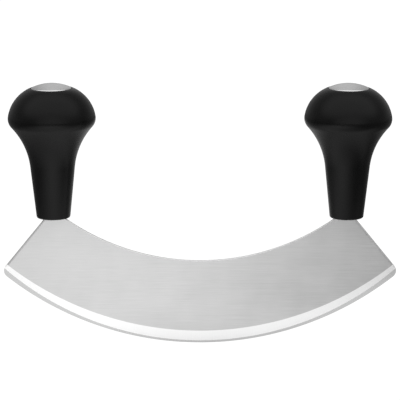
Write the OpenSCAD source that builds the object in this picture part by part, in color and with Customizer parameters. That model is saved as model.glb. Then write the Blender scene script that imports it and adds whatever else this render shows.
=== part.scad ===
// Mezzaluna: a crescent rocking knife with two upright knob handles.
// Millimetres. X runs along the blade, Y through its thickness, Z up.
// The origin is the lowest point of the cutting edge, in the middle of the blade.

/* [Blade] */
// Length of the blade from tip to tip
blade_l = 232.5; // [200:0.5:260]
// Thickness of the steel
blade_t = 2.5; // [1.8:0.1:3.5]
// Height of the blade in the middle, from the cutting edge to the spine
blade_depth = 50; // [42:0.5:58]
// Radius of the cutting edge, seen from the side
edge_r = 183; // [165:1:205]
// Radius of the spine, seen from the side
spine_r = 136.8; // [125:0.2:150]
// Lean of the straight end cuts, from upright
end_angle = 39.15; // [34:0.05:44]
// Radius of the two rounded tips
tip_r = 4.5; // [2:0.5:12]
// Width of the horn where the handle stands on it
horn_w = 11; // [9.5:0.1:16]

/* [Grind] */
// Width of the bevel in the middle of the blade
bevel_w = 7.5; // [4:0.1:12]
// Width of the bevel at the tips
bevel_tip_w = 6; // [3:0.1:10]
// Angle of the bevel to the side of the blade
bevel_angle = 7.5; // [4:0.1:9]
// Angle of the fine cutting bevel to the side of the blade
edge_angle = 20; // [15:1:30]
// Thickness left at the very edge
edge_t = 0.2; // [0.1:0.05:0.4]

/* [Tang] */
// Width of the tongue above the horn
tongue_w = 8; // [6:0.1:9]
// Thickness of the tongue
tongue_t = 2; // [1.4:0.1:3]
// Height of the tongue above the foot of the handle
tongue_h = 18; // [12:0.5:26]
// Diameter of the rod's shank
rod_d = 7; // [6.4:0.1:9]
// Diameter of the rod's threaded top
thread_d = 6; // [4:0.1:6.4]
// Length of the threaded top below the washer
thread_below = 6; // [2:0.5:12]
// Thread that stands out above the nut
thread_above = 1.8; // [0.6:0.1:2.4]
// Height of the rod's slotted end above the foot of the handle
rod_foot_h = 1.5; // [0.5:0.1:4]
// Chamfer on the ends of the rod
rod_chamfer = 0.6; // [0.2:0.1:1]

/* [Handle] */
// Outward lean of the handles, from upright
handle_splay = 0.4; // [0:0.1:3]
// Distance that the handle's axis stands outward of the middle of the horn
handle_shift = 0.7; // [-1:0.1:1.5]
// Diameter of the handle's foot
foot_d = 19.8; // [16:0.1:26]
// Rounding of the foot's rim
foot_round = 0.9; // [0.3:0.1:2]
// Widening of the shaft to each side, from upright
shaft_angle = 6.1; // [3:0.1:8]
// Radius of the hollow neck below the knob
neck_r = 42; // [34:0.5:52]
// Diameter of the knob at its widest
knob_d = 51.6; // [46:0.1:58]
// Height of the knob's widest place above the foot
knob_h = 59.3; // [54:0.1:66]
// Radius of the knob's side where it is widest
belt_r = 7.3; // [5:0.1:10]
// Radius of the knob's crown
crown_r = 21.8; // [20:0.1:26]
// Height of the handle's top rim above its foot
handle_h = 77.3; // [74:0.1:80]

/* [Fastening] */
// Diameter of the washer
washer_d = 18; // [14:0.5:21]
// Thickness of the washer
washer_t = 1.6; // [1:0.1:2.5]
// Width of the nut across its flats
nut_w = 10; // [8:0.5:12]
// Height of the nut
nut_h = 5; // [3:0.1:6.5]
// Chamfer on the corners of the nut, from its faces
nut_chamfer_angle = 30; // [15:1:45]
// Depth of the washer's pocket below the cap's seat
pocket_h = 10; // [9:0.5:14]

/* [End cap] */
// Diameter of the cap
cap_d = 23.8; // [21:0.1:27]
// Height of the cap's dome above the handle's top rim
dome_h = 2.7; // [1.5:0.1:5]
// Depth of the cap's skirt in the handle
skirt_h = 5; // [3:0.5:8]
// Thickness of the cap's sheet
cap_t = 1.2; // [0.6:0.1:1.8]

/* [Fits] */
// Gap around the rod and the tongue in the handle
bore_gap = 0.2; // [0.05:0.05:0.4]
// Gap around the washer in its pocket
washer_gap = 0.3; // [0.1:0.1:0.6]
// Gap around the thread in the washer
thread_gap = 0.2; // [0.1:0.05:0.4]
// Gap around the cap's skirt in its recess
cap_gap = 0.05; // [0.02:0.01:0.2]

/* [Hidden] */
left = -1;
right = 1;

// Facets of the blade's long arcs, of a handle and of a small round piece
fn_arc = 360;
fn_turned = 128;
fn_small = 64;
// How far a cut runs past the face that it starts from
over = 1;

steel = [0.78, 0.79, 0.8];
plain_steel = [0.62, 0.64, 0.66];
black_plastic = [0.07, 0.07, 0.075];

// Tips: each is an arc inside the cutting edge's circle, and it ends on the straight end cut
tip_x = blade_l / 2 - tip_r;
tip_z = edge_r - sqrt(pow(edge_r - tip_r, 2) - pow(tip_x, 2));
tip = [tip_x, tip_z];
edge_centre = [0, edge_r];
tip_on_cut = tip + tip_r * [cos(end_angle), sin(end_angle)];
tip_on_edge = edge_centre + (tip - edge_centre) * edge_r / (edge_r - tip_r);

// Spine: its circle's centre
spine_centre = [0, blade_depth + spine_r];

// Foot of the handles: the height at which the horn, between spine and end cut, is horn_w wide
lean = tan(end_angle);
cut_at_zero = tip_on_cut.x + lean * tip_on_cut.y;
inner_at_zero = cut_at_zero - horn_w;
quad_a = lean * lean + 1;
quad_half_b = inner_at_zero * lean + spine_centre.y;
quad_c = pow(inner_at_zero, 2) + pow(spine_centre.y, 2) - pow(spine_r, 2);
foot_z = (quad_half_b - sqrt(pow(quad_half_b, 2) - quad_a * quad_c)) / quad_a;
handle_x = cut_at_zero - lean * foot_z - horn_w / 2 + handle_shift;

// Bevel line: an arc bevel_w above the edge in the middle and bevel_tip_w from it at the tips
tip_turn = asin(blade_l / 2 / edge_r);
bevel_end_x = (edge_r - bevel_tip_w) * sin(tip_turn);
bevel_end_rise = edge_r - (edge_r - bevel_tip_w) * cos(tip_turn) - bevel_w;
bevel_r = (pow(bevel_end_x, 2) + pow(bevel_end_rise, 2)) / (2 * bevel_end_rise);
bevel_centre_z = bevel_w + bevel_r;

// Handle profile, as radius and height above the foot: foot, straight shaft, neck and belt
foot_rim = [foot_d / 2, 0];
shaft_dir = [sin(shaft_angle), cos(shaft_angle)];
shaft_out = [cos(shaft_angle), -sin(shaft_angle)];
foot_arc_r = foot_rim.x - foot_round * (1 - sin(shaft_angle)) / cos(shaft_angle);
foot_arc = [foot_arc_r, foot_round];
belt = [knob_d / 2 - belt_r, knob_h];
belt_out = (belt - foot_rim) * shaft_out;
belt_along = (belt - foot_rim) * shaft_dir;
neck_along = belt_along - sqrt(pow(neck_r + belt_r, 2) - pow(neck_r - belt_out, 2));
neck_start = foot_rim + neck_along * shaft_dir;
neck = neck_start + neck_r * shaft_out;
neck_end = belt + (neck - belt) * belt_r / norm(neck - belt);

// Crown: a circle round the belt's circle, through the rim of the cap's recess
rim = [cap_d / 2 + cap_gap, handle_h];
rim_gap = norm(rim - belt);
rim_dir = (rim - belt) / rim_gap;
crown_along = (pow(rim_gap, 2) - 2 * crown_r * belt_r + pow(belt_r, 2)) / (2 * rim_gap);
crown_side = sqrt(pow(crown_r - belt_r, 2) - pow(crown_along, 2));
crown = belt + crown_along * rim_dir + crown_side * [-rim_dir.y, rim_dir.x];
crown_start = belt + (belt - crown) * belt_r / norm(belt - crown);
// A point past the crown on the line from its centre to the belt's
crown_past = crown + (crown_start - crown) * knob_d / crown_r;

// Seats inside the handle, as heights above its foot
cap_seat_h = handle_h - skirt_h;
washer_seat_h = cap_seat_h - pocket_h;
nut_seat_h = washer_seat_h + washer_t;
rod_top_h = nut_seat_h + nut_h + thread_above;
shoulder_h = washer_seat_h - thread_below;

// Dome of the cap: radius, and its centre's height above the handle's foot
dome_r = (pow(cap_d / 2, 2) + pow(dome_h, 2)) / (2 * dome_h);
dome_centre_h = handle_h + dome_h - dome_r;

// Places children on one handle's axis, with the handle's foot at height zero
module station(side) {
    translate([side * handle_x, 0, foot_z])
        rotate([0, side * handle_splay, 0])
            children();
}

// The same for a flat shape that is drawn from the side
module flat_station(side) {
    translate([side * handle_x, foot_z])
        rotate(-side * handle_splay)
            children();
}

// Stands a flat side view upright, with its thickness centred on Y
module upright(thickness) {
    rotate([90, 0, 0])
        linear_extrude(height = thickness, center = true)
            children();
}

// The wedge between the two straight end cuts
module end_wedge() {
    polygon([
        [0, cut_at_zero / lean],
        [cut_at_zero + lean * over, -over],
        [-cut_at_zero - lean * over, -over]
    ]);
}

// The sharp corner outside a rounded tip
module tip_waste() {
    to_cut = tip_on_cut - tip;
    to_edge = tip_on_edge - tip;
    polygon([tip, tip + 2 * to_cut, tip + 2 * to_cut + 2 * to_edge, tip + 2 * to_edge]);
}

// The blade from the side, without its tongues
module crescent() {
    difference() {
        intersection() {
            translate(edge_centre)
                circle(r = edge_r, $fn = fn_arc);
            end_wedge();
        }
        translate(spine_centre)
            circle(r = spine_r, $fn = fn_arc);
        for (side = [left, right]) {
            scale([side, 1])
                tip_waste();
            flat_station(side)
                translate([-2 * horn_w, 0])
                    square([4 * horn_w, 2 * horn_w]);
        }
    }
    for (side = [left, right])
        translate([side * tip.x, tip.y])
            circle(r = tip_r, $fn = fn_small);
}

// Everything inside a bevel whose cone has the radius line_r at the distance side_y from the middle
module bevel_cone(line_r, centre_z, side_y, angle) {
    height = blade_t / 2 + over;
    translate([0, 0, centre_z])
        for (turn = [90, -90])
            rotate([turn, 0, 0])
                cylinder(
                    h = height,
                    r1 = line_r + side_y / tan(angle),
                    r2 = line_r + (side_y - height) / tan(angle),
                    $fn = fn_arc
                );
}

module blade() {
    color(steel) {
        intersection() {
            upright(blade_t)
                crescent();
            bevel_cone(bevel_r, bevel_centre_z, blade_t / 2, bevel_angle);
            bevel_cone(edge_r, edge_r, edge_t / 2, edge_angle);
        }
        for (side = [left, right])
            upright(tongue_t)
                flat_station(side)
                    translate([-tongue_w / 2, -foot_round])
                        square([tongue_w, tongue_h + foot_round]);
    }
}

// Round stud, welded astride the tongue
module tang_rod(side) {
    color(plain_steel)
        station(side)
            difference() {
                rotate_extrude($fn = fn_small)
                    polygon([
                        [0, rod_foot_h],
                        [rod_d / 2 - rod_chamfer, rod_foot_h],
                        [rod_d / 2, rod_foot_h + rod_chamfer],
                        [rod_d / 2, shoulder_h],
                        [thread_d / 2, shoulder_h],
                        [thread_d / 2, rod_top_h - rod_chamfer],
                        [thread_d / 2 - rod_chamfer, rod_top_h],
                        [0, rod_top_h]
                    ]);
                translate([-rod_d, -tongue_t / 2, 0])
                    cube([2 * rod_d, tongue_t, tongue_h]);
            }
}

// Half of the handle's section, solid
module handle_section() {
    difference() {
        polygon([
            [0, 0],
            [foot_arc.x, 0],
            foot_arc + foot_round * shaft_out,
            neck_start,
            neck,
            neck_end,
            belt,
            [0, knob_h]
        ]);
        translate(neck)
            circle(r = neck_r, $fn = fn_arc);
    }
    translate(foot_arc)
        circle(r = foot_round, $fn = fn_small);
    translate(belt)
        circle(r = belt_r, $fn = fn_turned);
    intersection() {
        translate(crown)
            circle(r = crown_r, $fn = fn_arc);
        polygon([[0, 0], belt, crown_past, [crown_past.x, handle_h], [0, handle_h]]);
    }
}

// Moulded knob grip with a bore for the rod, a slot for the tongue and seats at the top
module handle(side) {
    bore_r = rod_d / 2 + bore_gap;
    slot_w = tongue_w + 2 * bore_gap;
    slot_t = tongue_t + 2 * bore_gap;
    color(black_plastic)
        station(side)
            difference() {
                rotate_extrude($fn = fn_turned)
                    handle_section();
                translate([0, 0, -over])
                    cylinder(h = handle_h + over, r = bore_r, $fn = fn_small);
                translate([-slot_w / 2, -slot_t / 2, -over])
                    cube([slot_w, slot_t, tongue_h + bore_gap + over]);
                translate([0, 0, washer_seat_h])
                    cylinder(h = handle_h, r = washer_d / 2 + washer_gap, $fn = fn_small);
                translate([0, 0, cap_seat_h])
                    cylinder(h = handle_h, r = rim.x, $fn = fn_turned);
            }
}

module washer(side) {
    color(plain_steel)
        station(side)
            translate([0, 0, washer_seat_h])
                difference() {
                    cylinder(h = washer_t, r = washer_d / 2, $fn = fn_small);
                    translate([0, 0, -over])
                        cylinder(h = washer_t + 2 * over, r = thread_d / 2 + thread_gap, $fn = fn_small);
                }
}

// Hexagon nut with chamfered corners, its thread drawn as a plain bore
module nut(side) {
    corner_r = nut_w / 2 / cos(30);
    corner_drop = (corner_r - nut_w / 2) * tan(nut_chamfer_angle);
    color(plain_steel)
        station(side)
            translate([0, 0, nut_seat_h])
                difference() {
                    intersection() {
                        cylinder(h = nut_h, r = corner_r, $fn = 6);
                        rotate_extrude($fn = fn_small)
                            polygon([
                                [0, 0],
                                [nut_w / 2, 0],
                                [corner_r, corner_drop],
                                [corner_r, nut_h - corner_drop],
                                [nut_w / 2, nut_h],
                                [0, nut_h]
                            ]);
                    }
                    translate([0, 0, -over])
                        cylinder(h = nut_h + 2 * over, r = thread_d / 2, $fn = fn_small);
                }
}

// Half of the cap's outer section, or of its hollow when it is drawn in by the sheet's thickness
module cap_section(inset, drop) {
    intersection() {
        translate([0, dome_centre_h])
            circle(r = dome_r - inset, $fn = fn_arc);
        translate([0, cap_seat_h - drop])
            square([cap_d / 2 - inset, skirt_h + dome_h + drop]);
    }
}

// Pressed cap with a domed top and a plain skirt
module end_cap(side) {
    color(steel)
        station(side)
            rotate_extrude($fn = fn_turned)
                difference() {
                    cap_section(0, 0);
                    cap_section(cap_t, over);
                }
}

blade();
tang_rod(left);  // tang_rod_left
tang_rod(right);  // tang_rod_right
handle(left);  // handle_left
handle(right);  // handle_right
washer(left);  // washer_left
washer(right);  // washer_right
nut(left);  // nut_left
nut(right);  // nut_right
end_cap(left);  // end_cap_left
end_cap(right);  // end_cap_right
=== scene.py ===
# Mezzaluna: the looks of a crescent rocking knife with two upright knob handles.
# Metres. X runs along the blade, Y through its thickness, Z up. The blade, the handles and the
# end caps get detailed pieces, and the steel inside the handles keeps its own shape.

import math

import bmesh
import bpy
from mathutils import Matrix, Vector


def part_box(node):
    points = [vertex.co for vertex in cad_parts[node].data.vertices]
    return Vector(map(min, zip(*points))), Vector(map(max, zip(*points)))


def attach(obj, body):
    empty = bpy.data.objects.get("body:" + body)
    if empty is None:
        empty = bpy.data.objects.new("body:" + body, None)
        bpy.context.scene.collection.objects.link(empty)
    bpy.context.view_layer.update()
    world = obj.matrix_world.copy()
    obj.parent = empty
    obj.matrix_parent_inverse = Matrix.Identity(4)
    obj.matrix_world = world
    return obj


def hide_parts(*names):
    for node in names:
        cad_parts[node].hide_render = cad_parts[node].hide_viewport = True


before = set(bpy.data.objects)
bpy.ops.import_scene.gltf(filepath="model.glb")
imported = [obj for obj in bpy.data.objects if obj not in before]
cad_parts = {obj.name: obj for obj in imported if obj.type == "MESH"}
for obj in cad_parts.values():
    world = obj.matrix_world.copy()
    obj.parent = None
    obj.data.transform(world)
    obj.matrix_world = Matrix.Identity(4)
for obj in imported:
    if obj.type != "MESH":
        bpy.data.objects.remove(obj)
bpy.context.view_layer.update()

SIDES = {"left": -1, "right": 1}
MM = 0.001
BLADE_LOW, BLADE_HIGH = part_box("blade")

# Blade, seen from the side: the radii of its edge, spine and tips, and the lean of its end cuts
BLADE_L = BLADE_HIGH.x - BLADE_LOW.x
BLADE_DEPTH = 50 * MM
EDGE_R = 183 * MM
SPINE_R = 136.8 * MM
TIP_R = 4.5 * MM
END_ANGLE = math.radians(39.15)
HORN_W = 11 * MM

# Grind: half the steel's thickness, the wide bevel and the honed strip along the edge
HALF_T = (BLADE_HIGH.y - BLADE_LOW.y) / 2
BEVEL_W = 7.5 * MM
BEVEL_TIP_W = 6 * MM
BEVEL_ANGLE = math.radians(7.5)
HONED_ANGLE = math.radians(14)
EDGE_HALF_T = 0.1 * MM

# Rounding of the other rims: in from the end cuts, in from the spine, and down from the side.
# Rows more than 0.63 mm in from the end cuts cross the rib at the tongue's outer side, so the
# blade's sides and tongues fold over themselves there by up to 0.6 mm.
CUT_RIM_W = 1.1 * MM
SPINE_RIM_W = 0.15 * MM
RIM_DROP = 0.25 * MM

# Tongue inside the foot of each handle: it is as thick as the steel is between its rounded rims
TONGUE_W = 8 * MM
TONGUE_H = 18 * MM

# Handle, as radius and height above its foot
SPLAY = math.radians(0.4)
FOOT_R = 9.9 * MM
FOOT_ROUND = 1.3 * MM
SHAFT_ANGLE = math.radians(6.1)
NECK_R = 42 * MM
KNOB_R = 25.8 * MM
KNOB_H = 59.3 * MM
BELT_R = 7.3 * MM
CROWN_R = 21.8 * MM
HANDLE_H = 77.3 * MM
LIP_R = 0.5 * MM

# Seats and bores inside the handle
CAP_R = 11.9 * MM
CAP_GAP = 0.3 * MM
SKIRT_H = 5 * MM
POCKET_H = 10 * MM
POCKET_R = 9.3 * MM
BORE_R = 3.7 * MM
FOOT_BORE_R = 4.3 * MM
WASHER_T = 1.6 * MM
CAP_SEAT_H = HANDLE_H - SKIRT_H
WASHER_SEAT_H = CAP_SEAT_H - POCKET_H

# End cap
DOME_H = 2.7 * MM
CAP_T = 1.2 * MM
CAP_ROUND = 0.6 * MM

# How finely the pieces are drawn: steps round a turned piece and along the arcs of its section
TURNED_STEPS = 128
FOOT_STEPS = 8
NECK_STEPS = 24
BELT_STEPS = 20
CROWN_STEPS = 24
LIP_STEPS = 6
DOME_STEPS = 24
CAP_ROUND_STEPS = 6
UNDERSIDE_STEPS = 12

# Ribs of half the blade and of its tip, rows round a rim, and rows up the flat side
EDGE_STEPS = 140
TIP_STEPS = 20
RIM_STEPS = 4
FACE_ROWS = 6

# Faces that meet at more than this angle keep a sharp edge between them
CREASE = math.radians(30)

# Halvings in a search along a line, and how many rim widths in from the spine its rows are sought
BISECTIONS = 40
RIM_SEARCH = 4

# Corners nearer together than WELD are one, a corner nearer to a line than TOUCH is on it, and
# places that agree to so many digits of a metre are the same
WELD = 1e-7
TOUCH = 1e-6
PLACE_DIGITS = 8

# Grain of the materials, in lumps or lines to the metre
FINE_STROKES = 3200
COARSE_STROKES = 800
SCRATCHES = 3000
LUMPS = 900
CLOUDS = 45
MOULD_GRAIN = 2600
SMEARS = 60
FLOOR_MOTTLE = 40

# Brush strokes along the blade, drawn out by a stretch below 1, and the share of the coarse ones
FINE_STRETCH = 0.02
COARSE_STRETCH = 0.015
COARSE_SHARE = 0.3

# Share of the clouds in the wear of the steel, and the ranges that noise and wear mostly keep to
CLOUD_SHARE = 0.4
NOISE_SPAN = (0.3, 0.7)
WEAR_SPAN = (0.2, 0.8)

# Black plastic of the handles
PLASTIC_GREY = (0.0027, 0.0038)
PLASTIC_ROUGHNESS = (0.23, 0.30)
PLASTIC_SPECULAR = 0.105
PLASTIC_GRAIN_DEPTH = 0.04 * MM

# Floor: its size, its finish, its glow all over and soft oval pools of light on it, each by
# centre, radii and glow
FLOOR_R = 12
FLOOR_SEGMENTS = 96
FLOOR_GREY = (0.03, 0.05)
FLOOR_ROUGHNESS = 0.9
FLOOR_SPECULAR = 0.1
FLOOR_GLOW = 0.15
POOLS = (
    ((-0.08, -0.3, 0), (0.37, 0.5, 1), 2.04),
    ((-0.03, -0.05, 0), (0.15, 0.1, 1), 0.47),
    ((0.16, -0.03, 0), (0.2, 0.08, 1), 0.75),
    ((0, 0.6, 0), (0.4, 0.6, 1), 0.6),
    ((0.02, 0.19, 0), (0.24, 0.19, 1), 0.5),
)

# Soft light round the knife, in a room with a faint glow of its own: a long light overhead, one
# in front and a weaker one behind. An edge is the cosine where a light begins and where it is full.
ROOM_GLOW = 0.4
TOP_WAY = Vector((0.02, -0.4, 1)).normalized()
TOP_GLOW = 1.67
TOP_EDGE = (0.62, 0.91)
TOP_STRETCH = 2.5
FRONT_WAY = Vector((0.08, -1, 0)).normalized()
FRONT_GLOW = 1.48
FRONT_EDGE = (0.62, 0.96)
BACK_WAY = Vector((0, 1, 0.75)).normalized()
BACK_GLOW = 0.72
BACK_EDGE = (0.82, 0.96)
BACK_STRETCH = 0.5

# Camera: one pixel of the 400 x 400 image is 0.59 mm at the blade
CAMERA_ELEVATION = math.radians(11)
CAMERA_DISTANCE = 1.475
CAMERA_AIM = Vector((0, 0, 0.0865))
CAMERA_LENS = 225
CAMERA_SENSOR = 36
CAMERA_REACH = 100


# ------------------------------------------------------------------ geometry helpers

def spot(radius, turn):
    """A flat vector of that length, turned from the first axis towards the second."""
    return Vector((radius * math.cos(turn), radius * math.sin(turn)))


def turn_of(vector):
    return math.atan2(vector.y, vector.x)


def arc(centre, radius, start, end, steps):
    """Points on an arc between two turns, with both its ends."""
    return [centre + spot(radius, start + (end - start) * i / steps) for i in range(steps + 1)]


def between(start, end, measure, value):
    """The point on a line where a measure that grows along it reaches a value."""
    low, high = 0.0, 1.0
    for _ in range(BISECTIONS):
        middle = (low + high) / 2
        if measure(start.lerp(end, middle)) < value:
            low = middle
        else:
            high = middle
    return start.lerp(end, low)


def station(side):
    """Places the handle's own frame, with its foot at height zero, in the object's frame."""
    low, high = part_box(f"washer_{side}")
    turn = Matrix.Rotation(SIDES[side] * SPLAY, 4, "Y")
    return Matrix.Translation((low + high) / 2) @ turn @ Matrix.Translation(
        (0, 0, -WASHER_SEAT_H - WASHER_T / 2)
    )


def finish_piece(name, bm, materials, place, node):
    """Turns a bmesh into the piece that stands for a node, with creases where surfaces meet."""
    bmesh.ops.recalc_face_normals(bm, faces=bm.faces)
    if bm.calc_volume(signed=True) < 0:
        bmesh.ops.reverse_faces(bm, faces=bm.faces)
    for face in bm.faces:
        face.smooth = True
    for edge in bm.edges:
        kinds = {face.material_index for face in edge.link_faces}
        edge.smooth = len(kinds) == 1 and edge.calc_face_angle(0) < CREASE
    mesh = bpy.data.meshes.new(name)
    bm.to_mesh(mesh)
    bm.free()
    for material in materials:
        mesh.materials.append(material)
    piece = bpy.data.objects.new(name, mesh)
    piece.matrix_world = place
    bpy.context.scene.collection.objects.link(piece)
    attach(piece, "root")
    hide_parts(node)


def lathe(profile, closed):
    """Turns a profile of radii and heights round the Z axis; points on the axis make poles."""
    bm = bmesh.new()
    rings = []
    for point in profile:
        if point.x < WELD:
            rings.append([bm.verts.new((0, 0, point.y))] * TURNED_STEPS)
            continue
        turns = (math.tau * i / TURNED_STEPS for i in range(TURNED_STEPS))
        rings.append([bm.verts.new((*spot(point.x, turn), point.y)) for turn in turns])
    pairs = list(zip(rings, rings[1:]))
    if closed:
        pairs.append((rings[-1], rings[0]))
    for lower, upper in pairs:
        for i in range(TURNED_STEPS):
            j = (i + 1) % TURNED_STEPS
            corners = dict.fromkeys((lower[i], lower[j], upper[j], upper[i]))
            bm.faces.new(list(corners))
    return bm


# ------------------------------------------------------------------ material helpers

def new_material(name):
    """A material, its node tree, its shader and the piece's own coordinates."""
    material = bpy.data.materials.new(name)
    material.use_nodes = True
    tree = material.node_tree
    place = tree.nodes.new("ShaderNodeTexCoord").outputs["Object"]
    return material, tree, tree.nodes["Principled BSDF"], place


def mapped(tree, place, scale, centre=(0, 0, 0), kind="POINT"):
    """Coordinates times a scale or, as TEXTURE, counted from a centre in lengths of that scale."""
    node = tree.nodes.new("ShaderNodeMapping")
    node.vector_type = kind
    node.inputs["Location"].default_value = centre
    node.inputs["Scale"].default_value = scale
    tree.links.new(place, node.inputs["Vector"])
    return node.outputs["Vector"]


def noise(tree, place, scale, stretch=1, detail=2):
    """Noise with so many lumps to the metre, drawn out along X by a stretch below 1."""
    texture = tree.nodes.new("ShaderNodeTexNoise")
    texture.inputs["Scale"].default_value = scale
    texture.inputs["Detail"].default_value = detail
    tree.links.new(mapped(tree, place, (stretch, 1, 1)), texture.inputs["Vector"])
    return texture.outputs["Fac"]


def lines(tree, along, scale, detail=2):
    """Noise that changes only with one length, as the scratches of a grinding belt do."""
    texture = tree.nodes.new("ShaderNodeTexNoise")
    texture.noise_dimensions = "1D"
    texture.inputs["Scale"].default_value = scale
    texture.inputs["Detail"].default_value = detail
    tree.links.new(along, texture.inputs["W"])
    return texture.outputs["Fac"]


def math_node(tree, operation, *values):
    """Reckons with numbers and with the values of other nodes."""
    node = tree.nodes.new("ShaderNodeMath")
    node.operation = operation
    for socket, value in zip(node.inputs, values):
        if isinstance(value, (int, float)):
            socket.default_value = value
        else:
            tree.links.new(value, socket)
    return node.outputs["Value"]


def vector_node(tree, operation, vector):
    node = tree.nodes.new("ShaderNodeVectorMath")
    node.operation = operation
    tree.links.new(vector, node.inputs[0])
    return node


def axes(tree, place):
    node = tree.nodes.new("ShaderNodeSeparateXYZ")
    tree.links.new(place, node.inputs["Vector"])
    return node.outputs


def ranged(tree, value, low, high, source=NOISE_SPAN):
    """Brings a value from one range to another, and holds it there."""
    node = tree.nodes.new("ShaderNodeMapRange")
    node.inputs["From Min"].default_value = source[0]
    node.inputs["From Max"].default_value = source[1]
    node.inputs["To Min"].default_value = low
    node.inputs["To Max"].default_value = high
    tree.links.new(value, node.inputs["Value"])
    return node.outputs["Result"]


def greys(tree, value, dark, light):
    """A grey between two levels, by a value from 0 to 1."""
    node = tree.nodes.new("ShaderNodeMix")
    node.data_type = "RGBA"
    colours = [socket for socket in node.inputs if socket.type == "RGBA"]
    colours[0].default_value = (dark, dark, dark, 1)
    colours[1].default_value = (light, light, light, 1)
    tree.links.new(value, node.inputs["Factor"])
    return next(socket for socket in node.outputs if socket.type == "RGBA")


def bump(tree, height, depth):
    """A bump so deep in metres."""
    node = tree.nodes.new("ShaderNodeBump")
    node.inputs["Distance"].default_value = depth
    tree.links.new(height, node.inputs["Height"])
    return node.outputs["Normal"]


def steel(name, scratches, grey, roughness, depth):
    """Steel with scratches, given by a function of the tree and the coordinates, and cloudy wear."""
    material, tree, shader, place = new_material(name)
    shader.inputs["Metallic"].default_value = 1
    fine = scratches(tree, place)
    scratched = ranged(tree, fine, 0, 1)
    clouded = ranged(tree, noise(tree, place, CLOUDS), 0, CLOUD_SHARE)
    worn = math_node(tree, "MULTIPLY_ADD", scratched, 1 - CLOUD_SHARE, clouded)
    tree.links.new(greys(tree, worn, *grey), shader.inputs["Base Color"])
    tree.links.new(ranged(tree, worn, *roughness, source=WEAR_SPAN), shader.inputs["Roughness"])
    tree.links.new(bump(tree, fine, depth), shader.inputs["Normal"])
    return material


# ------------------------------------------------------------------ materials

def lengthwise(tree, place):
    """Fine and coarser brush strokes along the blade."""
    fine = noise(tree, place, FINE_STROKES, FINE_STRETCH)
    coarse = noise(tree, place, COARSE_STROKES, COARSE_STRETCH)
    coarse_part = math_node(tree, "MULTIPLY", coarse, COARSE_SHARE)
    return math_node(tree, "MULTIPLY_ADD", fine, 1 - COARSE_SHARE, coarse_part)


def across_edge(tree, place):
    """Scratches square to the cutting edge, by the length along it."""
    x, _, z = axes(tree, place)
    turn = math_node(tree, "ARCTAN2", x, math_node(tree, "SUBTRACT", EDGE_R, z))
    return lines(tree, math_node(tree, "MULTIPLY", turn, EDGE_R), SCRATCHES)


def ringed(tree, place):
    """Fine rings round the piece's own axis."""
    x, y, _ = axes(tree, place)
    squares = (math_node(tree, "MULTIPLY", length, length) for length in (x, y))
    radius = math_node(tree, "SQRT", math_node(tree, "ADD", *squares))
    return lines(tree, radius, SCRATCHES)


def lumpy(tree, place):
    return noise(tree, place, LUMPS, detail=3)


def satin_steel():
    return steel(
        "satin_steel", lengthwise,
        grey=(0.365, 0.48), roughness=(0.29, 0.39), depth=0.0045 * MM,
    )


# Bevel: brighter grey than the satin side, partly its ground finish and partly painted sheen for the
# bright light it mirrors
def bevel_steel_and_sheen():
    return steel(
        "bevel_steel_and_sheen", across_edge,
        grey=(0.71, 0.78), roughness=(0.44, 0.50), depth=0.0005 * MM,
    )


def honed_steel():
    return steel(
        "honed_steel", across_edge,
        grey=(0.45, 0.51), roughness=(0.24, 0.30), depth=0.0005 * MM,
    )


def rim_steel():
    return steel(
        "rim_steel", lumpy,
        grey=(0.36, 0.42), roughness=(0.32, 0.44), depth=0.005 * MM,
    )


def spine_steel():
    return steel(
        "spine_steel", lumpy,
        grey=(0.74, 0.80), roughness=(0.50, 0.60), depth=0.002 * MM,
    )


def cap_steel():
    return steel(
        "cap_steel", ringed,
        grey=(0.54, 0.64), roughness=(0.26, 0.34), depth=0.003 * MM,
    )


def rod_steel():
    return steel(
        "rod_steel", lumpy,
        grey=(0.42, 0.54), roughness=(0.28, 0.42), depth=0.005 * MM,
    )


def zinc_steel():
    return steel(
        "zinc_steel", lumpy,
        grey=(0.55, 0.66), roughness=(0.22, 0.36), depth=0.005 * MM,
    )


def black_plastic():
    """Matt moulded plastic: fine grain and a faint unevenness in its gloss."""
    material, tree, shader, place = new_material("black_plastic")
    shader.inputs["Specular IOR Level"].default_value = PLASTIC_SPECULAR
    grain = noise(tree, place, MOULD_GRAIN)
    smears = noise(tree, place, SMEARS, detail=3)
    colour = greys(tree, ranged(tree, smears, 0, 1), *PLASTIC_GREY)
    tree.links.new(colour, shader.inputs["Base Color"])
    tree.links.new(ranged(tree, smears, *PLASTIC_ROUGHNESS), shader.inputs["Roughness"])
    tree.links.new(bump(tree, grain, PLASTIC_GRAIN_DEPTH), shader.inputs["Normal"])
    return material


def floor_pool(tree, place, centre, radii, glow):
    """A soft oval pool of light."""
    reach = vector_node(tree, "LENGTH", mapped(tree, place, radii, centre, kind="TEXTURE"))
    pool = ranged(tree, reach.outputs["Value"], glow, 0, source=(0, 1))
    pool.node.interpolation_type = "SMOOTHSTEP"
    return pool


def seen_white(tree, glow):
    """A glow that is raised to white where it is looked at rather than mirrored."""
    seen = tree.nodes.new("ShaderNodeLightPath").outputs["Is Camera Ray"]
    return math_node(tree, "MAXIMUM", glow, seen)


def white_floor():
    """White floor that looks evenly lit, with soft pools of light for the steel to mirror."""
    material, tree, shader, place = new_material("white_floor")
    shader.inputs["Roughness"].default_value = FLOOR_ROUGHNESS
    shader.inputs["Specular IOR Level"].default_value = FLOOR_SPECULAR
    shader.inputs["Emission Color"].default_value = (1, 1, 1, 1)
    mottle = ranged(tree, noise(tree, place, FLOOR_MOTTLE), 0, 1)
    tree.links.new(greys(tree, mottle, *FLOOR_GREY), shader.inputs["Base Color"])
    glow = FLOOR_GLOW
    for pool in POOLS:
        glow = math_node(tree, "ADD", floor_pool(tree, place, *pool), glow)
    tree.links.new(seen_white(tree, glow), shader.inputs["Emission Strength"])
    return material


# ------------------------------------------------------------------ blade

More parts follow.
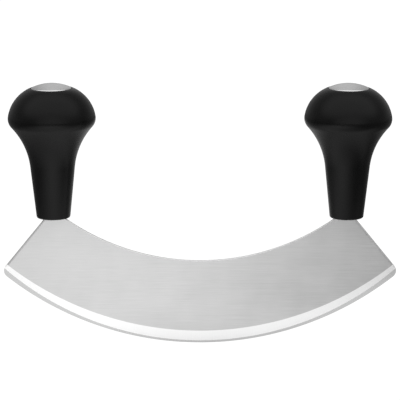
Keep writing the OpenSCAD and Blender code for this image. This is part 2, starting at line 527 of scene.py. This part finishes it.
EDGE_CENTRE = Vector((0, EDGE_R))
SPINE_CENTRE = Vector((0, BLADE_DEPTH + SPINE_R))
TIP = Vector((
    BLADE_L / 2 - TIP_R,
    EDGE_R - math.sqrt((EDGE_R - TIP_R) ** 2 - (BLADE_L / 2 - TIP_R) ** 2),
))
CUT_NORMAL = spot(1, END_ANGLE)
CUT_DISTANCE = TIP.dot(CUT_NORMAL) + TIP_R

# Bevel line: an arc BEVEL_W above the edge in the middle and BEVEL_TIP_W from it at the tips
BEVEL_END = EDGE_CENTRE + spot(EDGE_R - BEVEL_TIP_W, math.asin(BLADE_L / 2 / EDGE_R) - math.pi / 2)
BEVEL_RISE = BEVEL_END.y - BEVEL_W
BEVEL_R = (BEVEL_END.x ** 2 + BEVEL_RISE ** 2) / (2 * BEVEL_RISE)
BEVEL_CENTRE = Vector((0, BEVEL_W + BEVEL_R))

# Foot line: the horn's flat top on the right, under the handle
RIGHT = station("right")
FOOT = (RIGHT @ Vector((0, 0, 0))).xz
FOOT_ACROSS = (RIGHT.to_3x3() @ Vector((1, 0, 0))).xz
FOOT_UP = (RIGHT.to_3x3() @ Vector((0, 0, 1))).xz

# The blade's finishes in the order of its materials, and the finish of each row up its side
HONED, BEVEL, SATIN, RIM, SPINE = range(5)
ROW_KINDS = [HONED, BEVEL] + [SATIN] * FACE_ROWS + [SPINE] * RIM_STEPS


def mirrored(point):
    return Vector((abs(point.x), point.y))


def cut_depth(point):
    """How far a point lies inside the nearer end cut."""
    return CUT_DISTANCE - mirrored(point).dot(CUT_NORMAL)


def top_depth(point):
    """How far a point lies below the spine and the horns' flat tops."""
    foot_depth = (FOOT - mirrored(point)).dot(FOOT_UP)
    return min((point - SPINE_CENTRE).length - SPINE_R, foot_depth)


def inside_bevel(point):
    return BEVEL_R - (point - BEVEL_CENTRE).length


def bevel_half_t(point):
    return HALF_T + min(inside_bevel(point), 0) * math.tan(BEVEL_ANGLE)


def honed_half_t(point):
    return EDGE_HALF_T + (EDGE_R - (point - EDGE_CENTRE).length) * math.tan(HONED_ANGLE)


def rim_half_t(point):
    inward = min(cut_depth(point) / CUT_RIM_W, top_depth(point) / SPINE_RIM_W)
    outward = min(max(1 - inward, 0), 1)
    return HALF_T - RIM_DROP * (1 - math.sqrt(1 - outward ** 2))


def half_thickness(point):
    return min(bevel_half_t(point), honed_half_t(point), rim_half_t(point))


def rim_steps(width):
    """Depths of the rows that round a rim, from the flat side out to the rim."""
    turns = (math.pi / 2 * (1 - i / RIM_STEPS) for i in range(RIM_STEPS + 1))
    return [width * (1 - math.cos(turn)) for turn in turns]


def foot_line_point(reach):
    return FOOT + FOOT_ACROSS * reach


def cut_line_point(depth):
    """Where a line at that depth inside the end cut meets the foot line."""
    gap = CUT_DISTANCE - depth - FOOT.dot(CUT_NORMAL)
    return foot_line_point(gap / FOOT_ACROSS.dot(CUT_NORMAL))


def tip_point(turn):
    return TIP + spot(TIP_R, turn)


def cut_turn(depth):
    """The turn round the tip to the point at that depth inside the end cut."""
    return END_ANGLE - math.acos(1 - depth / TIP_R)


def tip_ribs(edge_end, horn_reach):
    """Ribs that fan round the tip up to the horn's top, and the rows that round the end cut."""
    depths = rim_steps(CUT_RIM_W)
    tip_end = cut_turn(depths[0])
    inner_gap = horn_reach - TONGUE_W / 2
    fan = TIP_STEPS - 2
    reaches = [-TONGUE_W / 2 - inner_gap / 2]
    reaches += [-TONGUE_W / 2 + TONGUE_W * i / fan for i in range(fan + 1)]
    ribs = []
    for i, reach in enumerate(reaches, 1):
        turn = edge_end + (tip_end - edge_end) * i / (len(reaches) + 1)
        ribs.append((tip_point(turn), foot_line_point(reach)))
    for depth in depths:
        ribs.append((tip_point(cut_turn(depth)), cut_line_point(depth)))
    return ribs


def right_ribs():
    """Lines across the right half of the blade, each from its lower rim to its upper one."""
    spine_end = between(
        foot_line_point(0), foot_line_point(-HORN_W),
        lambda point: SPINE_R - (point - SPINE_CENTRE).length, 0,
    )
    edge_end = turn_of(TIP - EDGE_CENTRE)
    lower = arc(EDGE_CENTRE, EDGE_R, -math.pi / 2, edge_end, EDGE_STEPS)
    upper = arc(SPINE_CENTRE, SPINE_R, -math.pi / 2, turn_of(spine_end - SPINE_CENTRE), EDGE_STEPS)
    return list(zip(lower, upper)) + tip_ribs(edge_end, (spine_end - FOOT).length)


def rib_points(lower, upper):
    """Points up a rib, with one on each line where the blade's surface changes."""
    halfway = lower.lerp(upper, 0.5)
    honed = between(lower, halfway, lambda point: honed_half_t(point) - bevel_half_t(point), 0)
    bevel = between(lower, halfway, inside_bevel, 0)
    near = upper.lerp(lower, RIM_SEARCH * SPINE_RIM_W / (upper - lower).length)
    rim = [between(upper, near, top_depth, depth) for depth in rim_steps(SPINE_RIM_W)]
    face = [bevel.lerp(rim[0], i / FACE_ROWS) for i in range(1, FACE_ROWS)]
    return [lower, honed, bevel, *face, *rim]


def side_corners(bm, ribs, way):
    """Corners of one side of the blade, rib by rib."""
    return [
        [bm.verts.new((point.x, way * half_thickness(point), point.y)) for point in rib]
        for rib in ribs
    ]


def new_face(bm, corners):
    """A face, unless its corners fall together."""
    places = {tuple(round(c, PLACE_DIGITS) for c in vertex.co) for vertex in corners}
    return bm.faces.new(corners) if len(places) > 2 else None


def side_faces(bm, grid):
    """Covers one side of the blade."""
    last = len(grid) - 1
    for i in range(last):
        at_cut = min(i, last - 1 - i) < RIM_STEPS
        for j, kind in enumerate(ROW_KINDS):
            face = new_face(bm, (grid[i][j], grid[i + 1][j], grid[i + 1][j + 1], grid[i][j + 1]))
            if face:
                face.material_index = RIM if at_cut and kind == SATIN else kind


def outline(grid):
    """The rim of one side: along the edge, up the right end, back along the top and down."""
    lower = [rib[0] for rib in grid]
    upper = [rib[-1] for rib in reversed(grid)]
    return lower + grid[-1][1:-1] + upper + grid[0][-2:0:-1]


def on_tongue(corner):
    """Whether a corner on the horn's flat top is where the tongue rises."""
    offset = mirrored(corner.xz) - FOOT
    level = abs(offset.dot(FOOT_UP)) < TOUCH
    return level and abs(offset.dot(FOOT_ACROSS)) < TONGUE_W / 2 + TOUCH


def rim_faces(bm, front, back):
    """Joins both sides round their outlines, and gives the faces where the tongues rise."""
    tongue_faces = []
    for i in range(len(front)):
        corners = (front[i - 1], front[i], back[i], back[i - 1])
        face = new_face(bm, corners)
        if face:
            at_cut = cut_depth(face.calc_center_median().xz) < CUT_RIM_W
            face.material_index = RIM if at_cut else SPINE
            if all(on_tongue(corner.co) for corner in corners):
                tongue_faces.append(face)
    return tongue_faces


def add_tongues(bm, faces):
    """Draws the horns' tops out into tongues, each along its handle's axis."""
    for side, sign in SIDES.items():
        own = [face for face in faces if face.is_valid and sign * face.calc_center_median().x > 0]
        drawn = bmesh.ops.extrude_face_region(bm, geom=own)["geom"]
        bmesh.ops.delete(bm, geom=own, context="FACES")
        corners = [part for part in drawn if isinstance(part, bmesh.types.BMVert)]
        up = station(side).to_3x3() @ Vector((0, 0, TONGUE_H))
        bmesh.ops.translate(bm, verts=corners, vec=up)


def blade_piece(materials):
    right = [rib_points(*rib) for rib in right_ribs()]
    left = [[Vector((-point.x, point.y)) for point in rib] for rib in reversed(right[1:])]
    bm = bmesh.new()
    front, back = (side_corners(bm, left + right, way) for way in (-1, 1))
    side_faces(bm, front)
    side_faces(bm, back)
    add_tongues(bm, rim_faces(bm, outline(front), outline(back)))
    bmesh.ops.remove_doubles(bm, verts=bm.verts, dist=WELD)
    finish_piece("blade_steel", bm, materials, Matrix.Identity(4), "blade")


# ------------------------------------------------------------------ handles and end caps

# The handle's section: the ways up its straight shaft and out of it, the corner at the shaft's
# foot, the centre of the belt's arc and the rim of the cap's recess
SHAFT_DIR = Vector((math.sin(SHAFT_ANGLE), math.cos(SHAFT_ANGLE)))
SHAFT_OUT = Vector((math.cos(SHAFT_ANGLE), -math.sin(SHAFT_ANGLE)))
FOOT_RIM = Vector((FOOT_R, 0))
BELT = Vector((KNOB_R - BELT_R, KNOB_H))
RECESS_RIM = Vector((CAP_R + CAP_GAP, HANDLE_H))


def foot_centre():
    """Centre of the arc that rounds the foot's rim."""
    inward = FOOT_ROUND * (1 - math.sin(SHAFT_ANGLE)) / math.cos(SHAFT_ANGLE)
    return Vector((FOOT_R - inward, FOOT_ROUND))


def neck_centre():
    """Centre of the hollow arc that runs on from the shaft and into the belt."""
    out = (BELT - FOOT_RIM).dot(SHAFT_OUT)
    along = (BELT - FOOT_RIM).dot(SHAFT_DIR)
    neck_along = along - math.sqrt((NECK_R + BELT_R) ** 2 - (NECK_R - out) ** 2)
    return FOOT_RIM + neck_along * SHAFT_DIR + NECK_R * SHAFT_OUT


def crown_centre():
    """Centre of the arc that runs on from the belt and through the rim of the cap's recess."""
    gap = (RECESS_RIM - BELT).length
    way = (RECESS_RIM - BELT) / gap
    along = (gap ** 2 - 2 * CROWN_R * BELT_R + BELT_R ** 2) / (2 * gap)
    aside = math.sqrt((CROWN_R - BELT_R) ** 2 - along ** 2)
    return BELT + along * way + aside * Vector((-way.y, way.x))


def lip_centre(crown):
    """Centre of the arc that rounds the crown into the wall of the cap's recess."""
    lip = Vector((RECESS_RIM.x + LIP_R, 0))
    lip.y = crown.y + math.sqrt((CROWN_R - LIP_R) ** 2 - (lip.x - crown.x) ** 2)
    return lip


def handle_profile():
    """The grip's section from the foot up the outside and back down the inside."""
    neck = neck_centre()
    neck_start = turn_of(-SHAFT_OUT) % math.tau
    neck_end = turn_of(BELT - neck) % math.tau
    crown = crown_centre()
    crown_start = turn_of(BELT - crown)
    lip = lip_centre(crown)
    crown_end = turn_of(lip - crown)
    return [
        *arc(foot_centre(), FOOT_ROUND, -math.pi / 2, -SHAFT_ANGLE, FOOT_STEPS),
        *arc(neck, NECK_R, neck_start, neck_end, NECK_STEPS),
        *arc(BELT, BELT_R, neck_end - math.pi, crown_start, BELT_STEPS)[1:],
        *arc(crown, CROWN_R, crown_start, crown_end, CROWN_STEPS)[1:],
        *arc(lip, LIP_R, crown_end, math.pi, LIP_STEPS)[1:],
        Vector((RECESS_RIM.x, CAP_SEAT_H)),
        Vector((POCKET_R, CAP_SEAT_H)),
        Vector((POCKET_R, WASHER_SEAT_H)),
        Vector((BORE_R, WASHER_SEAT_H)),
        Vector((BORE_R, TONGUE_H)),
        Vector((FOOT_BORE_R, TONGUE_H)),
        Vector((FOOT_BORE_R, 0)),
    ]


def cap_profile():
    """The cap's section from the top of the dome, round its rolled rim and under the sheet."""
    dome_r = (CAP_R ** 2 + DOME_H ** 2) / (2 * DOME_H)
    centre = Vector((0, HANDLE_H + DOME_H - dome_r))
    corner = Vector((CAP_R - CAP_ROUND, 0))
    corner.y = centre.y + math.sqrt((dome_r - CAP_ROUND) ** 2 - corner.x ** 2)
    corner_turn = turn_of(corner - centre)
    inner = CAP_R - CAP_T
    under = centre.y + math.sqrt((dome_r - CAP_T) ** 2 - inner ** 2)
    under_turn = turn_of(Vector((inner, under)) - centre)
    return [
        *arc(centre, dome_r, math.pi / 2, corner_turn, DOME_STEPS),
        *arc(corner, CAP_ROUND, corner_turn, 0, CAP_ROUND_STEPS)[1:],
        Vector((CAP_R, CAP_SEAT_H)),
        Vector((inner, CAP_SEAT_H)),
        *arc(centre, dome_r - CAP_T, under_turn, math.pi / 2, UNDERSIDE_STEPS),
    ]


def grip_piece(side, material):
    grip = lathe(handle_profile(), closed=True)
    finish_piece(f"grip_{side}", grip, [material], station(side), f"handle_{side}")


def cap_piece(side, material):
    cap = lathe(cap_profile(), closed=False)
    finish_piece(f"cap_{side}", cap, [material], station(side), f"end_cap_{side}")


def dress_inside(side, materials):
    """Gives the steel inside a handle its finish, and leaves its shape as it is."""
    for kind, material in materials.items():
        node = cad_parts[f"{kind}_{side}"]
        node.data.materials.clear()
        node.data.materials.append(material)


# ------------------------------------------------------------------ studio

def soft_light(tree, way, direction, glow, edge, stretch=1):
    """A far light with a soft edge, stretched along X, that rises out of the room's own glow."""
    stretched = mapped(tree, way, (1 / stretch, 1, 1))
    unit = vector_node(tree, "NORMALIZE", stretched).outputs["Vector"]
    tilt = vector_node(tree, "DOT_PRODUCT", unit)
    tilt.inputs[1].default_value = direction
    return ranged(tree, tilt.outputs["Value"], ROOM_GLOW, glow, source=edge)


def studio_world():
    """A background that is white to the camera and three soft lights to the knife."""
    world = bpy.data.worlds.new("studio")
    bpy.context.scene.world = world
    world.use_nodes = True
    tree = world.node_tree
    way = tree.nodes.new("ShaderNodeTexCoord").outputs["Generated"]
    top = soft_light(tree, way, TOP_WAY, TOP_GLOW, TOP_EDGE, TOP_STRETCH)
    front = soft_light(tree, way, FRONT_WAY, FRONT_GLOW, FRONT_EDGE)
    back = soft_light(tree, way, BACK_WAY, BACK_GLOW, BACK_EDGE, BACK_STRETCH)
    glow = math_node(tree, "MAXIMUM", math_node(tree, "MAXIMUM", top, front), back)
    background = tree.nodes["Background"]
    background.inputs["Color"].default_value = (1, 1, 1, 1)
    tree.links.new(seen_white(tree, glow), background.inputs["Strength"])


def studio_floor():
    bm = bmesh.new()
    bmesh.ops.create_circle(bm, cap_ends=True, segments=FLOOR_SEGMENTS, radius=FLOOR_R)
    mesh = bpy.data.meshes.new("floor")
    bm.to_mesh(mesh)
    bm.free()
    mesh.materials.append(white_floor())
    floor = bpy.data.objects.new("floor", mesh)
    bpy.context.scene.collection.objects.link(floor)


def studio_camera():
    data = bpy.data.cameras.new("camera")
    data.lens = CAMERA_LENS
    data.sensor_width = CAMERA_SENSOR
    data.clip_end = CAMERA_REACH
    camera = bpy.data.objects.new("camera", data)
    back = Vector((0, -math.cos(CAMERA_ELEVATION), math.sin(CAMERA_ELEVATION)))
    camera.location = CAMERA_AIM + back * CAMERA_DISTANCE
    camera.rotation_euler = (-back).to_track_quat("-Z", "Y").to_euler()
    bpy.context.scene.collection.objects.link(camera)
    bpy.context.scene.camera = camera


# ------------------------------------------------------------------ the object and its studio

blade_piece([honed_steel(), bevel_steel_and_sheen(), satin_steel(), rim_steel(), spine_steel()])
plastic = black_plastic()
cap_metal = cap_steel()
zinc = zinc_steel()
inner_metals = {"tang_rod": rod_steel(), "washer": zinc, "nut": zinc}
for side in SIDES:
    grip_piece(side, plastic)
    cap_piece(side, cap_metal)
    dress_inside(side, inner_metals)

studio_world()
studio_floor()
studio_camera()
bpy.context.scene.view_settings.view_transform = "Standard"
